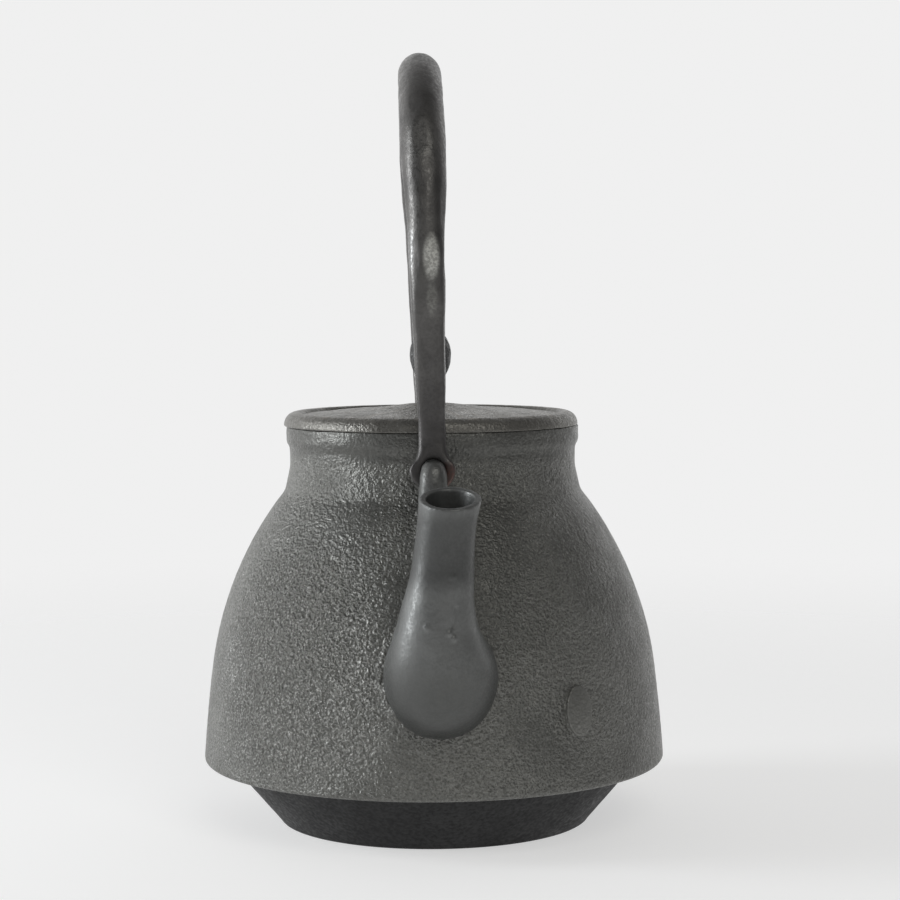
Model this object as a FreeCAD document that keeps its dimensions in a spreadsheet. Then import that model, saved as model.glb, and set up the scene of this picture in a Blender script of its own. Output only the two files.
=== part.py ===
"""A cast iron water kettle (tetsubin): a bell-shaped shell over a base pan, a cannon spout, two eared
lugs, a lid with a riveted bud knob, and a hollow handle whose claws turn on the bars of the lugs.

Millimetres, +Z up. The origin is the middle of the face that the kettle stands on. The spout points
along -Y. The handle stands upright over the kettle, with the small lean and twist of a hand-fitted one.
"""
import FreeCAD
import Part
import math
import operator
import os

import Sketcher

SIZES = {
    # Base pan: a cone-sided bowl on a flat foot
    "foot_radius": 50.8,
    "foot_edge": 1.2,
    "foot_swell": 0.45,
    "pan_rim_radius": 67.4,
    "pan_wall": 3.4,
    "pan_floor": 3.8,
    "pan_ledge": 1.0,
    # Shell: skirt, flank, shoulder, neck and lip, from the bottom up
    "skirt_underside": 20.0,
    "skirt_round": 1.6,
    "skirt_radius": 75.6,
    "skirt_lean": 2.9,
    "flange_thickness": 3.4,
    "flange_fillet": 4.0,
    "flank_arc": 341.0,
    "flank_radius": 72.3,
    "flank_height": 54.4,
    "flank_lean": 8.5,
    "shoulder_arc": 116.0,
    "shoulder_radius": 51.6,
    "shoulder_height": 104.9,
    "shoulder_lean": 35.9,
    "throat_round": 6.0,
    "throat_flare": 1.6,
    "throat_radius": 48.2,
    "throat_height": 110.4,
    "neck_radius": 46.8,
    "neck_foot_height": 117.0,
    "neck_top_height": 122.3,
    "lip_radius": 47.9,
    "lip_foot_height": 126.1,
    "lip_top_height": 130.1,
    "lip_edge": 0.5,
    "lip_sweep": 3.6,
    "mouth_radius": 43.2,
    "mouth_bevel": 0.8,
    "shell_wall": 3.0,
    # Spout
    "spout_hole_radius": 9.0,
    "spout_hole_height": 58.0,
    "spout_root_reach": 58.0,
    "spout_root_height": 57.0,
    "spout_mouth_reach": 90.2,
    "spout_mouth_height": 113.8,
    "spout_mouth_radius": 9.1,
    "spout_mouth_wall": 1.8,
    # Lugs: ears on the shoulder, with a bar that the claws turn on
    "lug_reach": 57.0,
    "lug_half_width": 4.65,
    "bar_height": 119.0,
    "bar_radius": 3.5,
    "claw_slot_half_width": 3.1,
    "claw_slot_radius": 7.5,
    # Lid
    "lid_radius": 48.2,
    "lid_rim_round": 4.0,
    "lid_edge": 0.4,
    "lid_rim_top": 134.6,
    "lid_seat_height": 130.1,
    "lid_valley_radius": 42.0,
    "lid_valley_height": 132.9,
    "lid_dome_radius": 7.2,
    "lid_dome_height": 137.0,
    "lid_plate": 2.6,
    "lid_flange_radius": 42.4,
    "lid_flange_wall": 2.4,
    "lid_flange_depth": 4.6,
    # Knob, its stem and its two washers
    "knob_radius": 6.8,
    "knob_middle": 153.2,
    "knob_bottom": 143.6,
    "knob_neck_radius": 2.7,
    "knob_foot_radius": 4.1,
    "knob_foot": 1.4,
    "knob_foot_edge": 0.5,
    "knob_shoulder_rise": 6.8,
    "knob_shoulder_inset": 2.7,
    "knob_tip_rise": 8.54,
    "knob_tip_radius": 0.5,
    "stem_radius": 2.2,
    "stem_play": 0.1,
    "knob_seat_radius": 4.4,
    "washer_radius": 6.6,
    "washer_thickness": 1.2,
    "washer_edge": 0.4,
    "rivet_head_radius": 3.8,
    "rivet_head": 1.6,
    "rivet_edge": 1.0,
    # Handle hoop: a tube rolled from sheet, thickest at the top, measured up from the lugs' bars
    "hoop_foot_rise": 12.0,
    "hoop_hip_rise": 66.0,
    "hoop_top_rise": 124.4,
    "hoop_half_width": 64.5,
    "hoop_end_radius": 4.5,
    "hoop_leg_gain": 1.75,
    "hoop_shoulder_gain": 1.15,
    "hoop_sheet": 1.5,
    # Claw forks
    "claw_inner_radius": 3.8,
    "claw_half_width": 2.5,
    "claw_plug_radius": 2.5,
    "claw_plug_length": 5.0,
    # How the handle and lugs sit on the shell
    "handle_lean": 1.45,
    "lug_line_twist": 0.8,
    "lug_line_shift": -0.6,
    "lid_shift": -0.5,
}

OPERATORS = {"+": operator.add, "-": operator.sub, "*": operator.mul, "/": operator.truediv}


class Size:
    """A number worked out from the sheet, with the expression that keeps a feature tied to it."""

    def __init__(self, number, text):
        self.number = number
        self.text = text

    def joined(self, sign, other):
        number = OPERATORS[sign](self.number, number_of(other))
        return Size(number, f"({self.text} {sign} {text_of(other)})")

    def __add__(self, other):
        return self.joined("+", other)

    def __sub__(self, other):
        return self.joined("-", other)

    def __mul__(self, other):
        return self.joined("*", other)

    def __truediv__(self, other):
        return self.joined("/", other)

    def __neg__(self):
        return self.joined("*", -1)


def number_of(value):
    return value.number if isinstance(value, Size) else float(value)


def text_of(value):
    return value.text if isinstance(value, Size) else f"({value:.6f})"


def sine(angle):
    return Size(math.sin(math.radians(angle.number)), f"sin({angle.text} * 1 deg)")


def cosine(angle):
    return Size(math.cos(math.radians(angle.number)), f"cos({angle.text} * 1 deg)")


doc = FreeCAD.newDocument("kettle")
sheet = doc.addObject("Spreadsheet::Sheet", "Sizes")
for row, (name, value) in enumerate(SIZES.items(), start=1):
    sheet.set(f"A{row}", name)
    sheet.set(f"B{row}", str(value))
    sheet.setAlias(f"B{row}", name)
doc.recompute()
s = {name: Size(value, f"Sizes.{name}") for name, value in SIZES.items()}


# ---------------------------------------------------------------- sketches and features

def new_body(name):
    body = doc.addObject("PartDesign::Body", name)
    body.Label = name
    return body


def new_sketch(body, role, base=(0, 0, 0), tilt=0.0):
    """A sketch on one of the body's own planes, moved to base and tilted about the plane's x axis."""
    sketch = body.newObject("Sketcher::SketchObject", f"{body.Name}_sketch")
    plane = next(f for f in body.Origin.OriginFeatures if f.Role == role)
    sketch.AttachmentSupport = [(plane, "")]
    sketch.MapMode = "FlatFace"
    place = FreeCAD.Vector(*(number_of(v) for v in base))
    turn = FreeCAD.Rotation(FreeCAD.Vector(1, 0, 0), tilt)
    sketch.AttachmentOffset = FreeCAD.Placement(place, turn)
    for letter, value in zip("xyz", base):
        if isinstance(value, Size):
            sketch.setExpression(f"AttachmentOffset.Base.{letter}", value.text)
    return sketch


def tie(sketch, constraint, value):
    """Adds a constraint and binds its value to the sheet."""
    index = sketch.addConstraint(constraint)
    if isinstance(value, Size):
        sketch.setExpression(f"Constraints[{index}]", value.text)


def pin_point(sketch, geometry, end, point):
    """Fixes one point of a sketch at its distances from the sketch's origin."""
    for kind, axis, value in (("DistanceX", -2, point[0]), ("DistanceY", -1, point[1])):
        if number_of(value) == 0:
            sketch.addConstraint(Sketcher.Constraint("PointOnObject", geometry, end, axis))
        else:
            tie(sketch, Sketcher.Constraint(kind, -1, 1, geometry, end, number_of(value)), value)


def arc_between(start, finish, radius):
    """The shorter arc between two points, counter-clockwise when radius is positive."""
    middle = (start + finish) / 2
    chord = finish - start
    rise = math.sqrt(radius**2 - (chord.Length / 2) ** 2)
    left = FreeCAD.Vector(-chord.y, chord.x, 0).normalize()
    centre = middle + left * math.copysign(rise, radius)
    crown = centre - left * math.copysign(abs(radius), radius)
    return Part.Arc(start, crown, finish) if radius > 0 else Part.Arc(finish, crown, start)


def draw_outline(sketch, corners):
    """A closed outline. A corner is (x, y), reached by a line, or (x, y, radius), reached by an arc:
    a positive radius turns left, a negative one right."""
    points = [FreeCAD.Vector(number_of(c[0]), number_of(c[1]), 0) for c in corners]
    ends = []
    for k, corner in enumerate(corners):
        start, finish = points[k - 1], points[k]
        if len(corner) == 2:
            index = sketch.addGeometry(Part.LineSegment(start, finish))
            ends.append((index, 1, 2))
            continue
        turns_left = number_of(corner[2]) > 0
        radius = corner[2] if turns_left else corner[2] * -1
        index = sketch.addGeometry(arc_between(start, finish, number_of(corner[2])))
        tie(sketch, Sketcher.Constraint("Radius", index, number_of(radius)), radius)
        ends.append((index, 1, 2) if turns_left else (index, 2, 1))
    for k, (index, first, last) in enumerate(ends):
        after = ends[(k + 1) % len(ends)]
        sketch.addConstraint(Sketcher.Constraint("Coincident", index, last, after[0], after[1]))
        pin_point(sketch, index, last, corners[k])


def circle_sketch(body, role, radius, centre=(0, 0), base=(0, 0, 0), tilt=0.0):
    sketch = new_sketch(body, role, base, tilt)
    middle = FreeCAD.Vector(number_of(centre[0]), number_of(centre[1]), 0)
    sketch.addGeometry(Part.Circle(middle, FreeCAD.Vector(0, 0, 1), number_of(radius)))
    tie(sketch, Sketcher.Constraint("Radius", 0, number_of(radius)), radius)
    pin_point(sketch, 0, 3, centre)
    return sketch


def turned(body, corners, cut=False, base=(0, 0, 0)):
    """Turns an outline of (radius, height) corners about Z, to add it or to cut it away."""
    sketch = new_sketch(body, "XZ_Plane", base)
    draw_outline(sketch, corners)
    kind = "PartDesign::Groove" if cut else "PartDesign::Revolution"
    feature = body.newObject(kind, f"{body.Name}_turned")
    feature.Profile = sketch
    feature.ReferenceAxis = (sketch, ["V_Axis"])
    feature.Angle = 360
    return feature


def lofted(body, sections, cut=False):
    kind = "PartDesign::SubtractiveLoft" if cut else "PartDesign::AdditiveLoft"
    feature = body.newObject(kind, f"{body.Name}_loft")
    feature.Profile = sections[0]
    feature.Sections = sections[1:]
    return feature


# ---------------------------------------------------------------- the kettle's walls

def outer_wall(depth=0):
    """The shell's outer face from the neck down to the skirt, moved inwards by depth."""
    leans = {"shoulder": s["shoulder_lean"], "flank": s["flank_lean"], "skirt": s["skirt_lean"]}

    def inset(radius, height, lean):
        return radius - cosine(lean) * depth, height - sine(lean) * depth

    shoulder = inset(s["shoulder_radius"], s["shoulder_height"], leans["shoulder"])
    flank = inset(s["flank_radius"], s["flank_height"], leans["flank"])
    skirt = inset(s["skirt_radius"], s["skirt_underside"] + s["skirt_round"], leans["skirt"])
    flare_radius = s["throat_radius"] + s["throat_flare"]
    return [
        (s["neck_radius"] - depth, s["neck_foot_height"]),
        (s["throat_radius"] - depth, s["throat_height"]),
        (flare_radius - depth, s["throat_height"] - s["throat_flare"] * 2, s["throat_round"] + depth),
        shoulder,
        (*flank, -(s["shoulder_arc"] - depth)),
        (*skirt, -(s["flank_arc"] - depth)),
    ]


def make_shell():
    """Neck, shoulder, flank and skirt in one wall, with a flange turned in under the skirt."""
    body = new_body("kettle_shell")
    inner = outer_wall(s["shell_wall"])
    flange_top = s["skirt_underside"] + s["flange_thickness"]
    flange_radius = s["pan_rim_radius"] - s["pan_wall"]
    inner_skirt_radius = s["skirt_radius"] - s["shell_wall"]
    sweep_radius = (s["lip_radius"] + s["neck_radius"]) / 2
    sweep_height = (s["lip_foot_height"] + s["neck_top_height"]) / 2
    outside = [
        (s["mouth_radius"] + s["mouth_bevel"], s["lip_top_height"]),
        (s["lip_radius"] - s["lip_edge"], s["lip_top_height"]),
        (s["lip_radius"], s["lip_top_height"] - s["lip_edge"], -s["lip_edge"]),
        (s["lip_radius"], s["lip_foot_height"]),
        (sweep_radius, sweep_height, -s["lip_sweep"]),
        (s["neck_radius"], s["neck_top_height"], s["lip_sweep"]),
        *outer_wall(),
    ]
    underside = [
        (s["skirt_radius"] - s["skirt_round"], s["skirt_underside"], -s["skirt_round"]),
        (flange_radius, s["skirt_underside"]),
        (flange_radius, flange_top),
        (inner_skirt_radius - s["flange_fillet"], flange_top),
        (inner_skirt_radius - 0.25, flange_top + s["flange_fillet"] - 0.2, s["flange_fillet"]),
    ]
    inside = [
        (*inner[4][:2], s["flank_arc"] - s["shell_wall"]),
        (*inner[3], s["shoulder_arc"] - s["shell_wall"]),
        inner[2][:2],
        (*inner[1], -(s["throat_round"] + s["shell_wall"])),
        (s["mouth_radius"], s["neck_foot_height"]),
        (s["mouth_radius"], s["lip_top_height"] - s["mouth_bevel"]),
    ]
    turned(body, outside + underside + inside)
    hole = circle_sketch(body, "XZ_Plane", s["spout_hole_radius"], (0, s["spout_hole_height"]))
    doc.recompute()
    before = body.Shape.Volume
    pocket = body.newObject("PartDesign::Pocket", "spout_hole")
    pocket.Profile = hole
    pocket.setExpression("Length", (s["skirt_radius"] * 1.2).text)
    pocket.Reversed = True
    doc.recompute()
    least = math.pi * SIZES["spout_hole_radius"] ** 2 * SIZES["shell_wall"]
    if before - body.Shape.Volume < least:
        raise RuntimeError("the spout's hole doesn't pass through the shell")
    return body


def make_base_pan():
    """A bowl with sloping sides and a flat foot, under the shell's flange."""
    body = new_body("base_pan")
    rise = s["skirt_underside"]
    floor_edge = s["foot_radius"] - s["pan_wall"]
    turned(body, [
        (0, 0),
        (s["foot_radius"] - s["foot_edge"], 0),
        (s["foot_radius"] + s["foot_swell"], s["foot_edge"], s["foot_edge"] + s["foot_swell"]),
        (s["pan_rim_radius"], rise),
        (s["pan_rim_radius"] - s["pan_wall"] - s["pan_ledge"], rise),
        (floor_edge, s["pan_floor"] + 2.0),
        (floor_edge - 3.0, s["pan_floor"], -5.0),
        (0, s["pan_floor"]),
    ])
    return body


# ---------------------------------------------------------------- spout

def cut_to_wall(body, axis=(0, 0, 0)):
    """Removes whatever reaches inside the shell's outer face. axis is where the shell's axis lies
    in the body's own place."""
    low = s["skirt_underside"] + s["skirt_round"]
    top = s["neck_top_height"]
    core = [(0, low), (0, top), (s["neck_radius"], top)]
    turned(body, core + outer_wall(), cut=True, base=axis)


def make_spout():
    """A cannon spout: a swollen root on the flank, a waist and a plain mouth, set a little aslant.

    Each station is a round section: how far it lies aside, its shares of the way out and of the way
    up from root to mouth, how far it has turned up from facing straight out, and its outer and bore
    radius as shares of the mouth's.
    """
    stations = [
        (1.2, 0.00, 0.00, 4, 1.93, 1.23),
        (1.3, 0.34, 0.01, 9, 1.92, 1.23),
        (1.3, 0.57, 0.085, 33, 1.82, 1.18),
        (1.0, 0.70, 0.20, 58, 1.58, 1.08),
        (1.0, 0.78, 0.35, 72, 1.29, 0.99),
        (2.1, 0.85, 0.55, 77, 1.05, 0.92),
        (2.9, 0.91, 0.74, 79, 0.93, 0.86),
        (4.2, 0.96, 0.89, 79, 0.96, 0.92),
        (5.2, 1.00, 1.00, 78, 1.00, 1.00),
    ]
    body = new_body("spout")
    out = s["spout_mouth_reach"] - s["spout_root_reach"]
    up = s["spout_mouth_height"] - s["spout_root_height"]
    outer = s["spout_mouth_radius"]
    bore = s["spout_mouth_radius"] - s["spout_mouth_wall"]
    for column, radius in ((4, outer), (5, bore)):
        sections = []
        for station in stations:
            aside, out_share, up_share, tilt = station[:4]
            base = (aside, s["spout_root_height"] + up * up_share, s["spout_root_reach"] + out * out_share)
            sections.append(circle_sketch(body, "XZ_Plane", radius * station[column], base=base, tilt=-tilt))
        lofted(body, sections, cut=radius is bore)
    cut_to_wall(body)
    return body


# ---------------------------------------------------------------- lugs

def slot_corners(middle, half_length, radius):
    """A slot along y: two straight sides, and two half-round ends drawn as quarters."""
    return [
        (radius, middle - half_length, radius),
        (radius, middle + half_length),
        (0, middle + half_length + radius, radius),
        (-radius, middle + half_length, radius),
        (-radius, middle - half_length),
        (0, middle - half_length - radius, radius),
    ]


def make_lug(name, side):
    """An ear rising from the shoulder, necked to a round bar where the claws turn. side is -1 in
    front and 1 behind. Each level is its height from the bar, how far out its middle lies from the
    bar's, its half-length, and its half-width as a share of the ear's."""
    levels = [
        (-35.0, -7.0, 4.0, 1.16),
        (-25.0, -3.2, 4.8, 1.08),
        (-15.0, 0.0, 4.5, 1.02),
        (-7.0, 0.9, 4.4, 0.98),
        (-2.0, 0.7, 5.0, 0.90),
        (1.4, 0.2, 5.0, 0.76),
        (3.3, 0.0, 4.6, 0.44),
    ]
    body = new_body(name)
    sections = []
    for rise, offset, half_length, share in levels:
        sketch = new_sketch(body, "XY_Plane", (0, 0, s["bar_height"] + rise))
        middle = (s["lug_reach"] + offset) * side
        draw_outline(sketch, slot_corners(middle, half_length, s["lug_half_width"] * share))
        sections.append(sketch)
    lofted(body, sections)
    slot = new_sketch(body, "YZ_Plane", (0, s["bar_height"], 0))
    start = s["lug_reach"] * side - s["claw_slot_half_width"]
    finish = s["lug_reach"] * side + s["claw_slot_half_width"]
    inner, outer = s["bar_radius"], s["claw_slot_radius"]
    draw_outline(slot, [(start, inner), (finish, inner), (finish, outer), (start, outer)])
    groove = body.newObject("PartDesign::Groove", f"{name}_claw_slot")
    groove.Profile = slot
    groove.ReferenceAxis = (slot, ["H_Axis"])
    groove.Angle = 360
    twist, shift = s["lug_line_twist"], s["lug_line_shift"]
    cut_to_wall(body, axis=(-cosine(twist) * shift, 0, -sine(twist) * shift))
    settle_on_lug_line(body)
    return body


def settle_on_lug_line(body, lean=0.0):
    """Puts a piece on the line through both lugs, and leans it about their bars."""
    shift = FreeCAD.Vector(SIZES["lug_line_shift"], 0, 0)
    line = FreeCAD.Placement(shift, FreeCAD.Rotation(FreeCAD.Vector(0, 0, 1), SIZES["lug_line_twist"]))
    pivot = FreeCAD.Vector(0, 0, SIZES["bar_height"])
    tip = FreeCAD.Rotation(FreeCAD.Vector(0, 1, 0), -lean)
    body.Placement = line * FreeCAD.Placement(FreeCAD.Vector(), tip, pivot)


# ---------------------------------------------------------------- lid and knob

def make_lid_plate():
    """A rolled rim, a shallow valley, a low dome, and a flange that drops into the mouth."""
    body = new_body("lid_plate")
    seat = s["lid_seat_height"]
    rim_top = s["lid_rim_top"]
    hole = s["stem_radius"] + s["stem_play"]
    underside = s["lid_dome_height"] - s["lid_plate"]
    flange_inner = s["lid_flange_radius"] - s["lid_flange_wall"]
    crest = s["lid_radius"] - s["lid_rim_round"]
    turned(body, [
        (hole, s["lid_dome_height"]),
        (hole, underside),
        (s["washer_radius"] + 0.6, underside),
        (flange_inner - 2.0, seat - 0.2),
        (flange_inner, seat - 1.6),
        (flange_inner, seat - s["lid_flange_depth"]),
        (s["lid_flange_radius"], seat - s["lid_flange_depth"]),
        (s["lid_flange_radius"], seat),
        (s["lid_radius"] - s["lid_edge"], seat),
        (s["lid_radius"], seat + s["lid_edge"], s["lid_edge"]),
        (s["lid_radius"], rim_top - s["lid_rim_round"]),
        (crest, rim_top, s["lid_rim_round"]),
        (crest - 1.3, rim_top - 0.4, 3.0),
        (s["lid_valley_radius"], s["lid_valley_height"]),
        (s["lid_valley_radius"] - 4.0, s["lid_valley_height"] + 0.2, -14.0),
        (s["lid_dome_radius"], s["lid_dome_height"]),
    ])
    set_lid_aside(body)
    return body


def set_lid_aside(body):
    body.Placement = FreeCAD.Placement(FreeCAD.Vector(SIZES["lid_shift"], 0, 0), FreeCAD.Rotation())


def make_washer(name, under, radius):
    """A flat washer round the knob's stem, its upper edge softened."""
    body = new_body(name)
    hole = s["stem_radius"] + s["stem_play"]
    top = under + s["washer_thickness"]
    turned(body, [
        (hole, under),
        (radius, under),
        (radius, top - s["washer_edge"]),
        (radius - s["washer_edge"], top),
        (hole, top),
    ])
    set_lid_aside(body)
    return body


def make_knob(seat_top, rivet_top):
    """A bud on a short neck, with a stem that is spread into a head below the lower washer."""
    body = new_body("knob")
    foot = seat_top + s["stem_play"]
    foot_top = foot + s["knob_foot"]
    head = rivet_top - s["stem_play"]
    tip_height = s["knob_middle"] + s["knob_tip_rise"]
    turned(body, [
        (0, head - s["rivet_head"]),
        (s["rivet_head_radius"] - s["rivet_edge"], head - s["rivet_head"]),
        (s["rivet_head_radius"], head - s["rivet_head"] + s["rivet_edge"], s["rivet_edge"]),
        (s["rivet_head_radius"], head),
        (s["stem_radius"], head),
        (s["stem_radius"], foot),
        (s["knob_foot_radius"], foot),
        (s["knob_foot_radius"], foot_top - s["knob_foot_edge"]),
        (s["knob_foot_radius"] - s["knob_foot_edge"], foot_top, s["knob_foot_edge"]),
        (s["knob_neck_radius"], s["knob_bottom"], -6.0),
        (s["knob_radius"], s["knob_middle"], 13.3),
        (s["knob_radius"] - s["knob_shoulder_inset"], s["knob_middle"] + s["knob_shoulder_rise"], 9.9),
        (s["knob_tip_radius"], tip_height, 5.64),
        (0, tip_height),
    ])
    set_lid_aside(body)
    return body


# ---------------------------------------------------------------- handle

def middle_line(share):
    """A point (along y, rise from the bars) of the hoop's middle line. share runs from -1 at the
    front claws through 0 at the top to 1 at the rear ones. A leg swells outwards as it climbs to its
    hip, and the two hips carry a flattened arch."""
    hip_share = 0.55
    squareness = 0.86
    side = math.copysign(1.0, share)
    climb = (1 - abs(share)) / (1 - hip_share)
    if climb < 1:
        swell = climb * climb * (3 - 2 * climb)
        reach = s["lug_reach"] + (s["hoop_half_width"] - s["lug_reach"]) * swell
        rise = s["hoop_foot_rise"] + (s["hoop_hip_rise"] - s["hoop_foot_rise"]) * climb
        return reach * side, rise
    turn = abs(share) / hip_share * math.pi / 2
    crown = s["hoop_top_rise"] - s["hoop_hip_rise"]
    across = math.sin(turn) ** squareness
    return s["hoop_half_width"] * (side * across), s["hoop_hip_rise"] + crown * math.cos(turn) ** squareness


def tube_radius(rise):
    """The hoop's outer radius: it grows steadily up the leg, and again where the arch begins."""
    leg = min(max((rise - 26) / 60, 0), 1)
    shoulder = min(max((rise - 84) / 16, 0), 1)
    return (s["hoop_end_radius"] + s["hoop_leg_gain"] * leg
            + s["hoop_shoulder_gain"] * (shoulder * shoulder * (3 - 2 * shoulder)))


def make_hoop():
    """A tapered tube through round stations along the middle line, open at both ends."""
    body = new_body("handle_hoop")
    count = 20
    for inset in (0, s["hoop_sheet"]):
        sections = []
        for k in range(count + 1):
            share = 2 * k / count - 1
            along, rise = middle_line(share)
            before, after = middle_line(share - 0.004), middle_line(share + 0.004)
            run = number_of(after[0]) - number_of(before[0])
            climb = number_of(after[1]) - number_of(before[1])
            tilt = math.degrees(math.atan2(-run, climb))
            radius = tube_radius(number_of(rise)) - inset
            base = (0, along, s["bar_height"] + rise)
            sections.append(circle_sketch(body, "XY_Plane", radius, base=base, tilt=tilt))
        lofted(body, sections, cut=inset != 0)
    settle_on_lug_line(body, SIZES["handle_lean"])
    return body


def make_fork(name, side):
    """A horseshoe that grips the lug's bar from above, on a neck that plugs the hoop's open end.
    Its outline is drawn about the bar."""
    body = new_body(name)
    grip = s["claw_inner_radius"]
    leg = s["hoop_end_radius"]
    foot = s["hoop_foot_rise"]
    neck_foot = foot - 4.4
    knee = (leg + 2.2, 1.8)
    claw_tip = (4.05, -4.83)
    grip_end = (grip * 0.6428, grip * -0.766)
    flare, hook = 9.0, -6.6
    base = (0, s["bar_height"], s["lug_reach"] * -side)
    outline = new_sketch(body, "XZ_Plane", base)
    draw_outline(outline, [
        (leg, foot),
        (leg, neck_foot),
        (*knee, flare),
        (*claw_tip, hook),
        grip_end,
        (0, grip, grip),
        (-grip_end[0], grip_end[1], grip),
        (-claw_tip[0], claw_tip[1]),
        (-knee[0], knee[1], hook),
        (-leg, neck_foot, flare),
        (-leg, foot),
    ])
    plate = body.newObject("PartDesign::Pad", f"{name}_plate")
    plate.Profile = outline
    plate.SideType = "Symmetric"
    plate.Length = SIZES["claw_half_width"] * 2
    plate.setExpression("Length", (s["claw_half_width"] * 2).text)
    plug = s["claw_plug_radius"]
    turned(body, [
        (0, neck_foot),
        (s["claw_half_width"], neck_foot),
        (leg, foot - 1.5),
        (leg, foot),
        (plug, foot),
        (plug, foot + s["claw_plug_length"]),
        (0, foot + s["claw_plug_length"]),
    ], base=base)
    settle_on_lug_line(body, SIZES["handle_lean"])
    return body


def check_and_export(bodies):
    """Stops if any object failed or any piece is not one sound solid, then writes each piece."""
    for item in doc.Objects:
        if {"Invalid", "Error"} & set(item.State):
            raise RuntimeError(f"{item.Name} failed: {item.State}")
    for body in bodies:
        shape = body.Shape
        if shape.isNull() or not shape.isValid() or len(shape.Solids) != 1:
            raise RuntimeError(f"{body.Label} is not one sound solid")
    os.makedirs("parts", exist_ok=True)
    for body in bodies:
        body.Shape.exportStep(os.path.join("parts", f"{body.Label}.step"))
        box = body.Shape.optimalBoundingBox()
        print(f"{body.Label:14} {body.Shape.Volume:9.0f} mm3  x {box.XMin:7.2f} {box.XMax:7.2f}"
              f"  y {box.YMin:7.2f} {box.YMax:7.2f}  z {box.ZMin:7.2f} {box.ZMax:7.2f}")


seat_under = s["lid_dome_height"]
rivet_under = s["lid_dome_height"] - s["lid_plate"] - s["washer_thickness"]
pieces = [
    make_shell(),
    make_base_pan(),
    make_spout(),
    make_lug("front_lug", -1),
    make_lug("rear_lug", 1),
    make_lid_plate(),
    make_washer("knob_seat", seat_under, s["knob_seat_radius"]),
    make_washer("rivet_washer", rivet_under, s["washer_radius"]),
    make_knob(seat_under + s["washer_thickness"], rivet_under),
    make_hoop(),
    make_fork("front_fork", -1),
    make_fork("rear_fork", 1),
]
doc.recompute()
check_and_export(pieces)
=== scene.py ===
import math

import bmesh
import bpy
import numpy as np
from mathutils import Matrix, Vector, noise
from mathutils.bvhtree import BVHTree


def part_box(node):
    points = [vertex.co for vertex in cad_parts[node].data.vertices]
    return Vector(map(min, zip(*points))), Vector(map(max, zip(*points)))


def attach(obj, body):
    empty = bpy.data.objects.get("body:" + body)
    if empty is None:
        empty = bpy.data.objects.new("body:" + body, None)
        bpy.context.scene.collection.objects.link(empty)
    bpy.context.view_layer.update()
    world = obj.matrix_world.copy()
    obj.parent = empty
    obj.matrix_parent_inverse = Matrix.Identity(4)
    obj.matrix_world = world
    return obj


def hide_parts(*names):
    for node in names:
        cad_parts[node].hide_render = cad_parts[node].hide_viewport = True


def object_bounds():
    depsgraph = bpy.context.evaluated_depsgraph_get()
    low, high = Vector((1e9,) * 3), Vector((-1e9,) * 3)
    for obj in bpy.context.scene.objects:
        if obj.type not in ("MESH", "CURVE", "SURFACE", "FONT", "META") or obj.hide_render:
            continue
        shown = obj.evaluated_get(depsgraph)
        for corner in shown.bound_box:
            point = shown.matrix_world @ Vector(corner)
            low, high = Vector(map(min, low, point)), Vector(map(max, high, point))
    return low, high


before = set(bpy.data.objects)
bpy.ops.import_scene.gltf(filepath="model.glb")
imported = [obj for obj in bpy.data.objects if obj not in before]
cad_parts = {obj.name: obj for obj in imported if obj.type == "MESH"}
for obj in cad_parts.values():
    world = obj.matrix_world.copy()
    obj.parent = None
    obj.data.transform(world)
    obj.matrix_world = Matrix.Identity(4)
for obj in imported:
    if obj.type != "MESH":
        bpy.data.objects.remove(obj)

# The looks of a cast iron kettle: a rough cast shell over a fired base pan, a smooth spout and lugs,
# a turned lid with a pitted knob, and a forged tube handle with claw forks.
# Lengths are in metres, angles in degrees, colours are linear light.

MM = 0.001
cad_low, cad_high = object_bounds()
scene = bpy.context.scene

# Outlines: the turn that counts as a corner, and the most turn between two points of a curve.
CORNER_TURN = 30
MOST_TURN = 14
ROUNDING_PASSES = 1
SAME_POINT = 0.001 * MM

# Studio light: strengths of the background seen, the dark side, the light from below, and the floor's glow.
BACKDROP = 0.87
DARK_ROOM = 0.14
CLOTH_BELOW = 0.55
FLOOR_GLOW = 0.52
FLOOR_RADIUS = 1.4


# ---------------------------------------------------------------- shapes

def whole_outline(node, middle):
    """The outline of a turned node, cut by the plane through its axis: (radius, height) points in order."""
    cut = bmesh.new()
    cut.from_mesh(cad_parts[node].data)
    bmesh.ops.remove_doubles(cut, verts=cut.verts, dist=SAME_POINT)
    for normal in ((0, 1, 0), (-1, 0, 0)):
        bmesh.ops.bisect_plane(cut, geom=cut.verts[:] + cut.edges[:] + cut.faces[:], plane_co=middle,
                               plane_no=normal, clear_outer=True)
    flat = 0.0001 * MM
    rim = [e for e in cut.edges if all(abs(v.co.y - middle.y) < flat for v in e.verts)]
    beside = {}
    for edge in rim:
        first, second = edge.verts
        beside.setdefault(first, []).append(second)
        beside.setdefault(second, []).append(first)
    ends = [v for v in beside if len(beside[v]) == 1]
    here = min(ends or beside, key=lambda v: v.co.z)
    walk, before = [here], None
    while True:
        ahead = [v for v in beside[here] if v is not before and v is not walk[0]]
        if not ahead or len(walk) > len(beside):
            break
        before, here = here, max(ahead, key=lambda v: v.co.x) if before is None else ahead[0]
        walk.append(here)
    points = np.array([(v.co.x - middle.x, v.co.z) for v in walk])
    cut.free()
    return points, not ends


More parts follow.
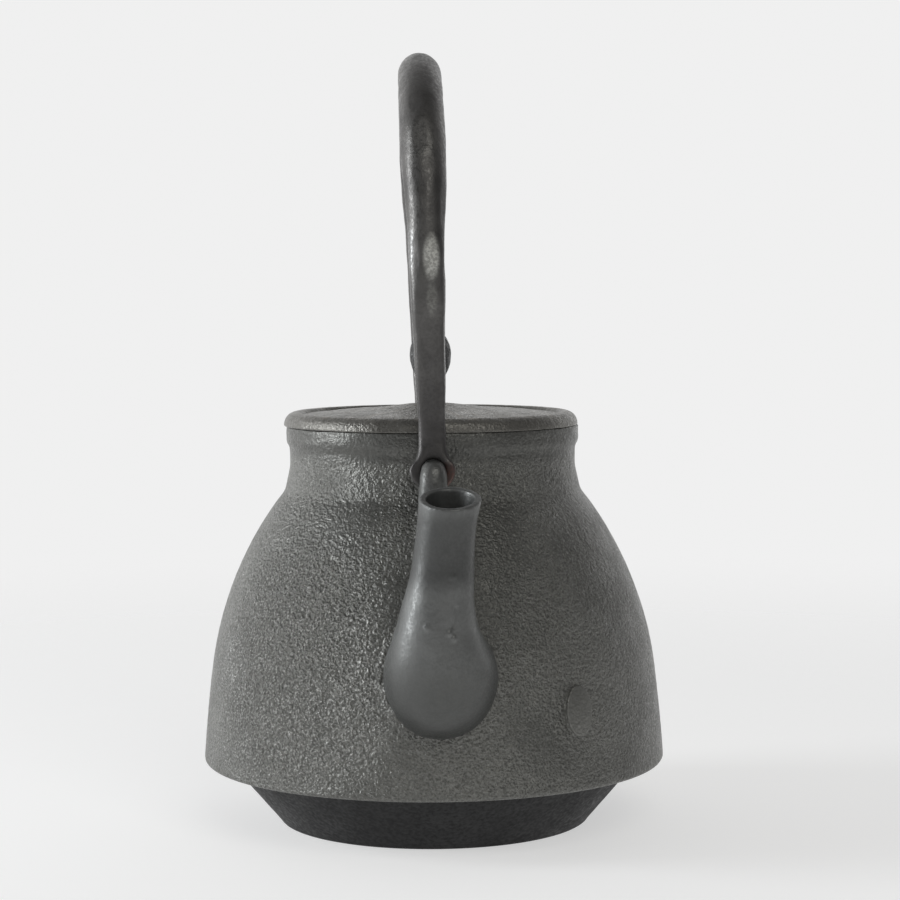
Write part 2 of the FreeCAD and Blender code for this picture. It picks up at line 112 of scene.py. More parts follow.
def resampled(points, closed, step):
    """The outline drawn again with points step(heading) apart, closer where it curves, and rounded a
    little everywhere but at its corners."""
    loop = np.vstack([points, points[:1]]) if closed else points
    distinct = np.append(True, np.linalg.norm(np.diff(loop, axis=0), axis=1) > SAME_POINT)
    loop = loop[distinct]
    runs = np.diff(loop, axis=0)
    lengths = np.linalg.norm(runs, axis=1)
    headings = runs / lengths[:, None]
    cosines = np.sum(np.roll(headings, 1, axis=0) * headings, axis=1)
    turns = np.degrees(np.arccos(cosines.clip(-1, 1)))
    corner = turns > CORNER_TURN
    corner[0] = corner[0] or not closed
    curving = np.where(corner, 0, turns)
    curving = (curving + np.append(curving[1:], 0)) / 2
    needed = np.maximum([length / step(h) for length, h in zip(lengths, headings)], curving / MOST_TURN)
    starts = np.flatnonzero(corner)
    if closed:
        loop, needed = np.roll(loop[:-1], -starts[0], axis=0), np.roll(needed, -starts[0])
        loop, starts = np.vstack([loop, loop[:1]]), starts - starts[0]
    made, held = [], []
    for first, last in zip(starts, np.append(starts[1:], len(needed))):
        so_far = np.append(0, np.cumsum(needed[first:last]))
        count = max(1, round(so_far[-1]))
        places = np.linspace(0, so_far[-1], count, endpoint=False)
        stretch = loop[first:last + 1]
        made += list(np.stack([np.interp(places, so_far, stretch[:, k]) for k in (0, 1)], 1))
        held += [True] + [False] * (count - 1)
    if not closed:
        made.append(loop[-1])
        held.append(True)
    made, free = np.array(made), ~np.array(held)
    for _ in range(ROUNDING_PASSES):
        between = (np.roll(made, 1, axis=0) + np.roll(made, -1, axis=0)) / 2
        made[free] += (between[free] - made[free]) / 2
    return made


def turned(name, outline, closed, middle, sides):
    """A mesh of revolution about the upright line through middle."""
    around = np.linspace(0, 2 * math.pi, sides, endpoint=False)
    vertices, rings = [], []
    for radius, height in outline:
        if radius < 0.01 * MM:
            rings.append([len(vertices)] * sides)
            vertices.append((middle.x, middle.y, height))
            continue
        rings.append(range(len(vertices), len(vertices) + sides))
        vertices += [(middle.x + radius * math.cos(angle), middle.y + radius * math.sin(angle), height)
                     for angle in around]
    pairs = list(zip(rings, rings[1:]))
    if closed:
        pairs.append((rings[-1], rings[0]))
    faces = []
    for lower, upper in pairs:
        for side in range(sides):
            after = (side + 1) % sides
            face = [lower[side], lower[after], upper[after], upper[side]]
            faces.append(tuple(dict.fromkeys(face)))
    mesh = bpy.data.meshes.new(name)
    mesh.from_pydata(vertices, [], faces)
    piece = bpy.data.objects.new(name, mesh)
    scene.collection.objects.link(piece)
    outward(piece)
    return piece


def outward(piece):
    """Turns every face of a closed mesh outwards, and shades it smooth."""
    work = bmesh.new()
    work.from_mesh(piece.data)
    bmesh.ops.recalc_face_normals(work, faces=work.faces)
    work.to_mesh(piece.data)
    work.free()
    piece.data.shade_smooth()


def recast(name, nodes, grain, passes):
    """One finer, evener skin over some nodes, with its edges softened as a casting's are."""
    work = bmesh.new()
    for node in nodes:
        work.from_mesh(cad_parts[node].data)
    source = new_piece(name + "_source", work)
    piece = bpy.data.objects.new(name, source.data.copy())
    scene.collection.objects.link(piece)
    even = piece.modifiers.new("even", "REMESH")
    even.mode = "VOXEL"
    even.voxel_size = grain
    fitted = piece.modifiers.new("fitted", "SHRINKWRAP")
    fitted.target = source
    soft = piece.modifiers.new("soft", "SMOOTH")
    soft.factor = 0.5
    soft.iterations = passes
    graph = bpy.context.evaluated_depsgraph_get()
    piece.data = bpy.data.meshes.new_from_object(piece.evaluated_get(graph))
    piece.modifiers.clear()
    bpy.data.objects.remove(source)
    keep_outermost(piece)
    piece.data.shade_smooth()
    return piece


def keep_outermost(piece):
    """Drops every closed skin that lies inside another one."""
    work = bmesh.new()
    work.from_mesh(piece.data)
    start = max(work.verts, key=lambda v: v.co.z)
    found, queue = {start}, [start]
    while queue:
        for edge in queue.pop().link_edges:
            for vertex in edge.verts:
                if vertex not in found:
                    found.add(vertex)
                    queue.append(vertex)
    bmesh.ops.delete(work, geom=[v for v in work.verts if v not in found], context="VERTS")
    work.to_mesh(piece.data)
    work.free()


def points_of(piece):
    """Every point of a mesh and its normal, as two arrays."""
    count = len(piece.data.vertices)
    points, normals = np.empty(count * 3), np.empty(count * 3)
    piece.data.vertices.foreach_get("co", points)
    piece.data.vertices.foreach_get("normal", normals)
    return points.reshape(-1, 3), normals.reshape(-1, 3)


def put_back(piece, points):
    """Moves every point of a mesh to its new place."""
    piece.data.vertices.foreach_set("co", points.ravel())
    piece.data.update()


def carve(piece, height):
    """Raises each point of a piece along its normal by height(points, normals)."""
    points, normals = points_of(piece)
    put_back(piece, points + normals * height(points, normals)[:, None])


def ripple(points, size, seed=0, squeeze=(1, 1, 1)):
    """A smooth random height between -1 and 1 at each point, with lumps of one size."""
    scaled = points * (np.array(squeeze) / size) + seed * 13.7
    return np.array([noise.noise(p) for p in scaled.tolist()])


def fade(value, start, end):
    """0 at start and before, 1 at end and after, smooth between."""
    share = np.clip((value - start) / (end - start), 0, 1)
    return share * share * (3 - 2 * share)


def near(points, centre, radii):
    """1 at a centre, fading to 0 at an ellipsoid of these radii round it."""
    away = np.linalg.norm((points - np.array(centre)) / np.array(radii), axis=1)
    return 1 - fade(away, 0, 1)


def along(points, start, finish, width):
    """1 on the straight line from start to finish, fading to 0 at width from it."""
    start, run = np.array(start), np.array(finish) - np.array(start)
    share = np.clip((points - start) @ run / (run @ run), 0, 1)
    away = np.linalg.norm(points - start - share[:, None] * run, axis=1)
    return 1 - fade(away, 0, width)


def flattened(points, centre, normal, depth, reach):
    """Cuts a surface back towards a plane depth below a point of it, as one hammer blow does."""
    normal = np.array(normal) / np.linalg.norm(normal)
    from_centre = points - np.array(centre)
    cut = (from_centre @ normal + depth).clip(0, 1.3 * depth)
    cut *= 0.85 * (1 - fade(np.linalg.norm(from_centre, axis=1), 0.5 * reach, reach))
    points -= normal * cut[:, None]


def gap_to(points, node, reach):
    """The distance from each point to a node's surface, up to reach."""
    tree = BVHTree.FromObject(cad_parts[node], bpy.context.evaluated_depsgraph_get())
    found = [tree.find_nearest(Vector(p), reach)[3] for p in points.tolist()]
    return np.array([reach if gap is None else gap for gap in found])


def middle_of(node):
    """The middle of a node's box, at the height of the origin."""
    low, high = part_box(node)
    return Vector(((low.x + high.x) / 2, (low.y + high.y) / 2, 0))


# ---------------------------------------------------------------- materials

def add(tree, kind, inputs=None, **settings):
    """One node. An input given as a socket is linked, and any other is set."""
    node = tree.nodes.new("ShaderNode" + kind)
    for name, value in settings.items():
        setattr(node, name, value)
    for name, value in (inputs or {}).items():
        if isinstance(value, bpy.types.NodeSocket):
            tree.links.new(value, node.inputs[name])
        else:
            node.inputs[name].default_value = value
    return node


def grain_of(tree, where, size, detail=2.0, roughness=0.5, squeeze=(1, 1, 1)):
    """Random grain of one size over the piece."""
    placed = add(tree, "Mapping", {"Vector": where, "Scale": squeeze})
    texture = add(tree, "TexNoise", {"Vector": placed.outputs[0], "Scale": 1 / size, "Detail": detail,
                                     "Roughness": roughness})
    return texture.outputs[0]


def spread(tree, value, low, high, start=0.0, end=1.0):
    """Maps low..high of a value to start..end."""
    node = add(tree, "MapRange", {0: value, 1: low, 2: high, 3: start, 4: end},
               interpolation_type="SMOOTHSTEP")
    return node.outputs[0]


def times(tree, first, second):
    """One value times another."""
    return add(tree, "Math", {0: first, 1: second}, operation="MULTIPLY").outputs[0]


def mixed(tree, share, first, second):
    """One colour over another, by share."""
    node = add(tree, "Mix", {"Factor": share}, data_type="RGBA")
    for name, value in (("A", first), ("B", second)):
        socket = next(s for s in node.inputs if s.name == name and s.type == "RGBA")
        if isinstance(value, bpy.types.NodeSocket):
            tree.links.new(value, socket)
        else:
            socket.default_value = (*value, 1)
    return next(s for s in node.outputs if s.type == "RGBA")


def patch(tree, where, centre, radii, edge=0.35):
    """1 inside an ellipsoid at a place on the piece, fading out over its edge."""
    moved = add(tree, "VectorMath", {0: where, 1: centre}, operation="SUBTRACT")
    shares = tuple(1 / radius for radius in radii)
    scaled = add(tree, "VectorMath", {0: moved.outputs[0], 1: shares}, operation="MULTIPLY")
    away = add(tree, "VectorMath", {0: scaled.outputs[0]}, operation="LENGTH").outputs["Value"]
    return spread(tree, away, 1 - edge, 1 + edge, 1, 0)


class Iron:
    """An iron surface: patches of two tones, darker pits, glossier high grains, and a fine bump that is
    stronger in some patches than in others."""

    def __init__(self, name, dark, light, roughness, patch_size, grain_size, bump, metallic=0.0,
                 pitted=1.0):
        self.material = bpy.data.materials.new(name)
        self.material.use_nodes = True
        self.tree = self.material.node_tree
        self.shader = self.tree.nodes["Principled BSDF"]
        self.where = add(self.tree, "TexCoord").outputs["Object"]
        self.bump, self.grain_size = bump, grain_size
        self.broad = grain_of(self.tree, self.where, patch_size, 3)
        self.fine = grain_of(self.tree, self.where, grain_size, 2)
        self.colour = mixed(self.tree, spread(self.tree, self.broad, 0.35, 0.65), dark, light)
        self.tint(spread(self.tree, self.fine, 0.5, 0.3), tuple(0.75 * c for c in dark), pitted)
        gloss = spread(self.tree, self.fine, 0.4, 0.7, roughness + 0.06, roughness - 0.1)
        smears = grain_of(self.tree, self.where, patch_size / 3, 2)
        uneven = spread(self.tree, smears, 0.3, 0.7, -0.05, 0.05)
        self.roughness = add(self.tree, "Math", {0: gloss, 1: uneven}, operation="ADD").outputs[0]
        self.shader.inputs["Metallic"].default_value = metallic

    def tint(self, share, colour, strength=1.0):
        """Lays a colour over the surface where share is 1."""
        self.colour = mixed(self.tree, times(self.tree, share, strength), self.colour, colour)

    def mottled(self, centre, radii):
        """A worn place with broken edges."""
        flecks = spread(self.tree, self.fine, 0.4, 0.62, 0.45, 1)
        return times(self.tree, patch(self.tree, self.where, centre, radii), flecks)

    def finished(self, calm=1.0):
        """Joins the colour, roughness and bump to the shader, and gives the material."""
        coarse = grain_of(self.tree, self.where, self.grain_size * 2.1, 1, squeeze=(1, 1, 1.25))
        relief = add(self.tree, "Math", {0: coarse, 1: 1.4, 2: self.fine},
                     operation="MULTIPLY_ADD").outputs[0]
        strength = spread(self.tree, self.broad, 0.3, 0.6, self.bump * 0.55, self.bump)
        strength = times(self.tree, strength, calm)
        bump = add(self.tree, "Bump", {"Height": relief, "Strength": strength,
                                       "Distance": self.grain_size * 2})
        self.tree.links.new(self.colour, self.shader.inputs["Base Color"])
        self.tree.links.new(self.roughness, self.shader.inputs["Roughness"])
        self.tree.links.new(bump.outputs[0], self.shader.inputs["Normal"])
        return self.material


def rays_of(iron, middle):
    """Broken streaks that run out from an upright axis."""
    tree = iron.tree
    moved = add(tree, "VectorMath", {0: iron.where, 1: middle}, operation="SUBTRACT")
    axes = add(tree, "SeparateXYZ", {0: moved.outputs[0]})
    bearing = add(tree, "Math", {0: axes.outputs["Y"], 1: axes.outputs["X"]},
                  operation="ARCTAN2").outputs[0]
    out = add(tree, "VectorMath", {0: moved.outputs[0]}, operation="LENGTH").outputs["Value"]
    spun = add(tree, "CombineXYZ", {"X": times(tree, bearing, 9), "Y": times(tree, out, 1 / (14 * MM))})
    streak = add(tree, "TexNoise", {"Vector": spun.outputs[0], "Scale": 1, "Detail": 4, "Roughness": 0.65})
    return spread(tree, streak.outputs[0], 0.45, 0.65)


def upward(iron):
    """1 on faces that look up, and 0 elsewhere."""
    normal = add(iron.tree, "NewGeometry").outputs["True Normal"]
    up = add(iron.tree, "SeparateXYZ", {0: normal}).outputs["Z"]
    return spread(iron.tree, up, 0.75, 0.95)


def coat(piece, material):
    """Gives a piece one material all over."""
    piece.data.materials.clear()
    piece.data.materials.append(material)


# ---------------------------------------------------------------- stage

def place_camera():
    """Before the spout and a little above the lid, with the kettle just left of the middle."""
    data = bpy.data.cameras.new("camera")
    data.sensor_width = 36
    data.lens = 99
    camera = bpy.data.objects.new("camera", data)
    scene.collection.objects.link(camera)
    turn, dip, roll = math.radians(-0.407), math.radians(90 - 3.961), math.radians(-0.279)
    aim = Matrix.Rotation(turn, 4, "Z") @ Matrix.Rotation(dip, 4, "X")
    stand = Matrix.Translation((0, -812.8 * MM, 177.9 * MM))
    camera.matrix_world = stand @ aim @ Matrix.Rotation(roll, 4, "Z")
    scene.camera = camera


def light_scene():
    """Pale walls behind and on the left, a dark room in front and overhead, and a window on the left."""
    world = bpy.data.worlds.new("studio")
    scene.world = world
    world.use_nodes = True
    tree = world.node_tree
    tree.nodes.clear()
    seen = add(tree, "Background", {"Color": (1, 1, 1, 1), "Strength": BACKDROP})
    towards = add(tree, "TexCoord").outputs["Generated"]
    axes = add(tree, "SeparateXYZ", {0: towards})
    leftward = times(tree, axes.outputs["X"], -0.3)
    turned_left = add(tree, "Math", {0: axes.outputs["Y"], 1: leftward}, operation="ADD").outputs[0]
    wall = spread(tree, turned_left, -0.4, 0.75, DARK_ROOM, 1.0)
    overhead = spread(tree, axes.outputs["Z"], 0.3, 0.8, 1.0, 0.35)
    cloth = spread(tree, axes.outputs["Z"], 0.0, -0.3, 0.0, CLOTH_BELOW)
    light = add(tree, "Math", {0: times(tree, wall, overhead), 1: cloth}, operation="MAXIMUM").outputs[0]
    shining = add(tree, "Background", {"Color": (1, 1, 1, 1), "Strength": light})
    straight = add(tree, "LightPath").outputs["Is Camera Ray"]
    both = add(tree, "MixShader", {0: straight, 1: shining.outputs[0], 2: seen.outputs[0]})
    out = add(tree, "OutputWorld", {"Surface": both.outputs[0]})
    out.is_active_output = True
    lamp("window", (-1.08, -0.12, 0.34), (0.4, 0.8), 8.5, (0.95, 0.98, 1.0))
    lamp("front", (0.4, -1.2, 1.0), (1.0, 1.0), 5.5, (1.0, 0.99, 0.94))


def lamp(name, place, size, power, colour):
    """A soft lamp, as wide and high as its size, aimed at the middle of the kettle."""
    data = bpy.data.lights.new(name, "AREA")
    data.color = colour
    data.shape = "RECTANGLE"
    data.size, data.size_y = size
    data.energy = power
    light = bpy.data.objects.new(name, data)
    scene.collection.objects.link(light)
    light.location = place
    target = Vector((0, 0, cad_high.z / 3))
    light.rotation_mode = "QUATERNION"
    light.rotation_quaternion = (target - light.location).to_track_quat("-Z", "Y")


def lay_floor():
    """A round pale floor that thins out into the background at its edge."""
    bpy.ops.mesh.primitive_circle_add(vertices=96, radius=FLOOR_RADIUS, fill_type="NGON",
                                      location=(0, 0, cad_low.z))
    floor = bpy.context.object
    floor.name = "floor"
    material = bpy.data.materials.new("pale_cloth")
    material.use_nodes = True
    tree = material.node_tree
    shader = tree.nodes["Principled BSDF"]
    shader.inputs["Base Color"].default_value = (0.56, 0.56, 0.56, 1)
    shader.inputs["Roughness"].default_value = 0.9
    shader.inputs["Specular IOR Level"].default_value = 0.1
    shader.inputs["Emission Color"].default_value = (1, 1, 1, 1)
    shader.inputs["Emission Strength"].default_value = FLOOR_GLOW
    where = add(tree, "TexCoord").outputs["Object"]
    away = add(tree, "VectorMath", {0: where}, operation="LENGTH").outputs["Value"]
    tree.links.new(spread(tree, away, 0.12, 0.8, 1, 0), shader.inputs["Alpha"])
    coat(floor, material)


# ---------------------------------------------------------------- pieces

AXIS = Vector((0, 0, 0))
UPRIGHT_STEP = 0.85 * MM
INSIDE_STEP = 7 * MM
FINE_STEP = 0.7 * MM
KNOB_STEP = 0.35 * MM
SHELL_SIDES, LID_SIDES, PAN_SIDES, KNOB_SIDES = 540, 360, 240, 120

# The smoother band of the shell starts and is full at these distances below its top.
LIP_STARTS, LIP_FULL = 11 * MM, 8 * MM
NECK_STARTS, NECK_FULL = 90 * MM, 105 * MM

# The casting ridge round the spout's and the lugs' feet, and the rougher flash at the left of the spout.
JOINT_REACH = 1.8 * MM
JOINT_RIDGE = 0.45 * MM
FLASH_MIDDLE = (-0.0145, -0.072, 0.050)
BORE_RADIUS, BORE_HEIGHT = 9 * MM, 58 * MM

PAD_MIDDLE = (0.045, -0.0591, 0.045)
PAD_HALVES = (5 * MM, 8 * MM)
PAD_LEAN = 7
PAD_THICKNESS = 6 * MM

# The legs are worked square between these heights. The claws hang below the second.
SQUARE_TOP = 0.2
SQUARE_FOOT = 0.129
HAMMER_BLOWS = 90
BLOW_REACH = 12 * MM
CREASE_BAND = (0.1215, 0.1245, 0.131, 0.138)


def shell_step(heading):
    """A fine step on the outside of the wall, where the outline climbs, and a coarse one on the inside."""
    return UPRIGHT_STEP if heading[1] > -0.3 else INSIDE_STEP


def sandy(points):
    """The lumps and hollows of a skin cast in sand, about 2 mm across, swirled out of line."""
    swirl = np.stack([ripple(points, 5 * MM, seed) for seed in (81, 82, 83)], 1)
    moved = points + swirl * 1.2 * MM
    return 0.15 * MM * ripple(moved, 2.8 * MM, 1) + 0.2 * MM * ripple(moved, 1.8 * MM, 2, (1, 1, 1.3))


def roughness_of_skin(points):
    """How strong the sand grain is at each point of the shell: strongest at the front left, weaker on the
    neck and low down, and uneven everywhere."""
    coarse = near(points, (-0.041, -0.058, 0.055), [42 * MM] * 3)
    coarse += near(points, (-0.012, -0.057, 0.095), [20 * MM] * 3)
    strength = (0.3 + 0.35 * coarse + 0.3 * ripple(points, 21 * MM, 4)).clip(0.15, 1)
    strength = strength * (1 - 0.65 * fade(points[:, 2], NECK_STARTS, NECK_FULL))
    return strength * (0.55 + 0.45 * fade(points[:, 2], 28 * MM, 45 * MM))


def joint_ridge(points):
    """A broken ridge of metal round the feet of the spout and the lugs."""
    gaps = [gap_to(points, node, JOINT_REACH) for node in ("spout", "front_lug", "rear_lug")]
    flash = 1 + 1.5 * near(points, FLASH_MIDDLE, (9 * MM, 9 * MM, 11 * MM))
    broken = (1 + 1.6 * ripple(points, 3 * MM, 6)).clip(0)
    return JOINT_RIDGE * flash * (1 - fade(np.minimum.reduce(gaps), 0, JOINT_REACH)) * broken


def make_shell():
    """The rough cast shell: a smoother lip band, a ridge where the spout and lugs join it, a plain pad,
    and the hole into the spout."""
    outline, closed = whole_outline("kettle_shell", AXIS)
    piece = turned("cast_shell", resampled(outline, closed, shell_step), closed, AXIS, SHELL_SIDES)
    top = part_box("kettle_shell")[1].z

    def height(points, normals):
        out = np.hypot(points[:, 0], points[:, 1])
        facing = (normals[:, 0] * points[:, 0] + normals[:, 1] * points[:, 1]) / out
        outside = fade(facing + normals[:, 2] * 0.5, 0.1, 0.6)
        band = fade(points[:, 2], top - LIP_STARTS, top - LIP_FULL)
        streak = 0.16 * MM * ripple(points, 9 * MM, 3, (1, 1, 5))
        streak += 0.1 * MM * ripple(points, 4 * MM, 7, (1, 1, 3))
        wavy = 0.22 * MM * ripple(points, 24 * MM, 5)
        skin = sandy(points) * roughness_of_skin(points) + wavy
        return outside * ((1 - band) * skin + band * streak + joint_ridge(points))

    carve(piece, height)
    combine(piece, plain_pad(), "UNION")
    bpy.ops.mesh.primitive_cylinder_add(vertices=64, radius=BORE_RADIUS, depth=40 * MM,
                                        location=(0, -70 * MM, BORE_HEIGHT), rotation=(math.pi / 2, 0, 0))
    combine(piece, bpy.context.object, "DIFFERENCE")
    return piece


def plain_pad():
    """A flat oval pad with a rounded edge, that stands a little out of the wall at the right of the
    spout."""
    bpy.ops.mesh.primitive_cylinder_add(vertices=64, radius=1, depth=1)
    pad = bpy.context.object
    bearing = math.atan2(PAD_MIDDLE[0], -PAD_MIDDLE[1])
    turn = Matrix.Rotation(bearing, 4, "Z") @ Matrix.Rotation(math.radians(90 - PAD_LEAN), 4, "X")
    pad.data.transform(Matrix.Diagonal((*PAD_HALVES, PAD_THICKNESS, 1)))
    rounded = pad.modifiers.new("rounded", "BEVEL")
    rounded.width = 0.5 * MM
    rounded.segments = 3
    face = turn @ Vector((0, 0, 1))
    pad.matrix_world = Matrix.Translation(Vector(PAD_MIDDLE) - face * (PAD_THICKNESS / 2)) @ turn
    return pad


def combine(piece, tool, operation):
    """Joins a tool to a piece, or cuts it out of the piece, and removes the tool."""
    bpy.context.view_layer.update()
    both = piece.modifiers.new("both", "BOOLEAN")
    both.object = tool
    both.operation = operation
    both.solver = "MANIFOLD"
    graph = bpy.context.evaluated_depsgraph_get()
    piece.data = bpy.data.meshes.new_from_object(piece.evaluated_get(graph))
    piece.modifiers.clear()
    bpy.data.objects.remove(tool)
    piece.data.shade_smooth()


def turned_again(name, node, middle, step, sides):
    """A turned node made again with an even, finer mesh."""
    outline, closed = whole_outline(node, middle)
    return turned(name, resampled(outline, closed, lambda heading: step), closed, middle, sides)


def make_pan():
    """The base pan: plain, with faint turning streaks round it, and a flat foot."""
    piece = turned_again("fired_pan", "base_pan", AXIS, FINE_STEP * 2, PAN_SIDES)

    def height(points, normals):
        streak = 0.04 * MM * ripple(points, 8 * MM, 11, (1, 1, 9))
        beside_foot = 1 - fade(-normals[:, 2], 0.8, 0.97)
        return beside_foot * (streak + 0.12 * MM * ripple(points, 16 * MM, 12))

    carve(piece, height)
    return piece


def make_lid():
    """The lid: a rolled rim, and a low cone marked with rough streaks that run out from the knob."""
    middle = middle_of("lid_plate")
    piece = turned_again("lid_casting", "lid_plate", middle, FINE_STEP, LID_SIDES)

    def height(points, normals):
        x, y = points[:, 0] - middle.x, points[:, 1] - middle.y
        out, bearing = np.hypot(x, y), np.arctan2(y, x)
        ray = np.stack([np.cos(bearing) * 16, np.sin(bearing) * 16, out / (9 * MM)], 1)
        streak = 0.05 * MM * ripple(ray, 1, 21)
        rough = 0.07 * MM * ripple(points, 1.8 * MM, 22) + 0.05 * MM * ripple(points, 7 * MM, 23)
        plate = 1 - fade(out, 41 * MM, 44 * MM)
        upper = fade(normals[:, 2], 0.3, 0.8)
        filled = 0.8 * MM * fade(out, 18 * MM, 34 * MM)
        return upper * plate * (streak + filled) + rough * 0.6

    carve(piece, height)
    return piece


def make_knob():
    """The egg-shaped knob, pitted all over."""
    piece = turned_again("pitted_knob", "knob", middle_of("knob"), KNOB_STEP, KNOB_SIDES)

    def height(points, normals):
        pits = 0.16 * MM * np.minimum(ripple(points, 1.5 * MM, 31), 0.15)
        return pits + 0.06 * MM * ripple(points, 4 * MM, 32)

    carve(piece, height)
    return piece


def make_spout():
    """The spout: smooth, with the nick, the crack and the bumps of its casting."""
    piece = recast("smooth_spout", ["spout"], 0.5 * MM, 4)
    points, _ = points_of(piece)
    eased(points)
    put_back(piece, points)

    def height(points, normals):
        skin = 0.14 * MM * ripple(points, 8 * MM, 41) + 0.03 * MM * ripple(points, 2 * MM, 42)
        crack = along(points, (0.0066, -0.0932, 0.0815), (0.0059, -0.0934, 0.0762), 0.9 * MM)
        nicks = near(points, (0.0046, -0.0937, 0.0742), [1.3 * MM] * 3)
        nicks += near(points, (0.006, -0.0933, 0.0727), [1.2 * MM] * 3)
        bumps = near(points, (-0.0019, -0.0939, 0.076), [1.6 * MM] * 3)
        bumps += near(points, (0.0058, -0.0942, 0.091), [1.4 * MM] * 3)
        return skin - 0.4 * MM * crack + 0.55 * MM * nicks + 0.3 * MM * bumps

    carve(piece, height)
    return piece


def eased(points):
    """Hangs the root of the spout a little lower and to the right, fills its neck on the right, and
    tips its mouth forward."""
    x, y, z = points.T.copy()
    low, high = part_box("spout")
    mouth = z > high.z - 8 * MM
    lip = (y[mouth].min() + y[mouth].max()) / 2
    points[:, 0] += 0.8 * MM * (1 - fade(z, 60 * MM, 85 * MM))
    neck = fade(z, 80 * MM, 96 * MM) * (1 - fade(z, 98 * MM, 112 * MM))
    points[:, 0] += 1.0 * MM * fade(x, -3 * MM, 8 * MM) * neck
    points[:, 2] -= 1.9 * MM * (1 - fade(z, low.z, 62 * MM))
    points[:, 2] += 0.085 * (y - lip) * fade(z, high.z - 14 * MM, high.z - 3 * MM)


def make_lug(name, node):
    """A lug: a rounded ear with a cast skin."""
    piece = recast(name, [node], 0.4 * MM, 9)

    def height(points, normals):
        return 0.16 * MM * ripple(points, 2.8 * MM, 51) + 0.12 * MM * ripple(points, 6 * MM, 52)

    carve(piece, height)
    return piece


def squared(points, middles):
    """Works the round lower legs towards a square section, as a smith does on the anvil."""
    heights, centres = middles
    for side in (-1, 1):
        leg = (points[:, 1] * side > 0) & (points[:, 2] < SQUARE_TOP)
        place = points[leg]
        middle = np.stack([np.interp(place[:, 2], heights, centres[side][:, k]) for k in (0, 1)], 1)
        offset = place[:, :2] - middle
        reach = np.maximum(np.linalg.norm(offset, axis=1), 1e-9)
        heading = np.abs(offset) / reach[:, None]
        share = 1 - fade(place[:, 2], SQUARE_TOP - 38 * MM, SQUARE_TOP)
        share *= fade(place[:, 2], SQUARE_FOOT, SQUARE_FOOT + 6 * MM)
        power = 2 + 2.2 * share
        grown = (heading[:, 0] ** power + heading[:, 1] ** power) ** (-1 / power)
        points[leg, :2] = middle + offset * grown[:, None]


def thinned(points, middles):
    """Draws each foot of the tube down to the thickness of its fork."""
    heights, centres = middles
    for side in (-1, 1):
        foot = (points[:, 1] * side > 0) & (points[:, 2] < SQUARE_TOP)
        place = points[foot]
        middle = np.interp(place[:, 2], heights, centres[side][:, 1])
        drawn = fade(place[:, 2], 0.126, SQUARE_FOOT) * (1 - fade(place[:, 2], 0.131, 0.158))
        share = 1 - 0.42 * drawn
        points[foot, 1] = middle + (place[:, 1] - middle) * share


def slimmed(points):
    """Draws the top of the hoop in a little from side to side."""
    middle = points[points[:, 2] > SQUARE_TOP + 20 * MM, 0].mean()
    share = 1 - 0.07 * fade(points[:, 2], SQUARE_TOP + 5 * MM, SQUARE_TOP + 35 * MM)
    points[:, 0] = middle + (points[:, 0] - middle) * share


def spread_tip(points):
    """Widens the left tip of the front claw a little."""
    tip = (points[:, 1] < 0) & (points[:, 0] < 0)
    low = 1 - fade(points[tip, 2], 0.117, 0.126)
    points[tip, 0] -= 0.9 * MM * fade(-points[tip, 0], 4.5 * MM, 8 * MM) * low


def leg_middles(node):
    """The middle of each leg of the hoop at a run of heights."""
    points, _ = points_of(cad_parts[node])
    low, high = points[:, 2].min(), points[:, 2].max()
    heights = np.linspace(low, SQUARE_TOP, 24)
    centres = {}
    for side in (-1, 1):
        own = points[points[:, 1] * side > 0]
        rows = []
        for height in heights:
            level = own[np.abs(own[:, 2] - height) < 4 * MM, :2]
            rows.append((level.min(0) + level.max(0)) / 2)
        centres[side] = np.array(rows)
    return heights, centres


def make_handle():
    """The handle: a forged tube with hammer marks, that runs into its two claw forks with no visible
    joint."""
    whole = recast("handle", ["handle_hoop", "front_fork", "rear_fork"], 0.6 * MM, 7)
    points, normals = points_of(whole)
    middles = leg_middles("handle_hoop")
    squared(points, middles)
    draw = np.random.default_rng(61)
    on_tube = np.flatnonzero(points[:, 2] > SQUARE_FOOT + 10 * MM)
    for index in draw.choice(on_tube, HAMMER_BLOWS, replace=False):
        depth = draw.uniform(0.05, 0.22) * MM
        flattened(points, points[index].copy(), normals[index], depth, BLOW_REACH)
    flattened(points, (-0.0035, -0.0632, 0.2208), (-0.12, -0.87, 0.49), 0.55 * MM, 14 * MM)
    flattened(points, (-0.0038, -0.0555, 0.231), (-0.3, -0.66, 0.69), 0.16 * MM, 8 * MM)
    thinned(points, middles)
    slimmed(points)
    spread_tip(points)
    put_back(whole, points)
    soften(whole, 2)
    soften(whole, 90, CREASE_BAND)

    def height(points, normals):
        return 0.16 * MM * ripple(points, 9 * MM, 71) + 0.05 * MM * ripple(points, 3 * MM, 72)

    carve(whole, height)
    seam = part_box("handle_hoop")[0].z + 0.12 * MM
    hoop = cut_at(whole, "forged_hoop", seam, above=True)
    claws = cut_at(whole, "claws", seam, above=False)
    front, rear = (one_side(claws, name, side) for name, side in (("front_claw", -1), ("rear_claw", 1)))
    for spare in (whole, claws):
        bpy.data.objects.remove(spare)
    return hoop, front, rear


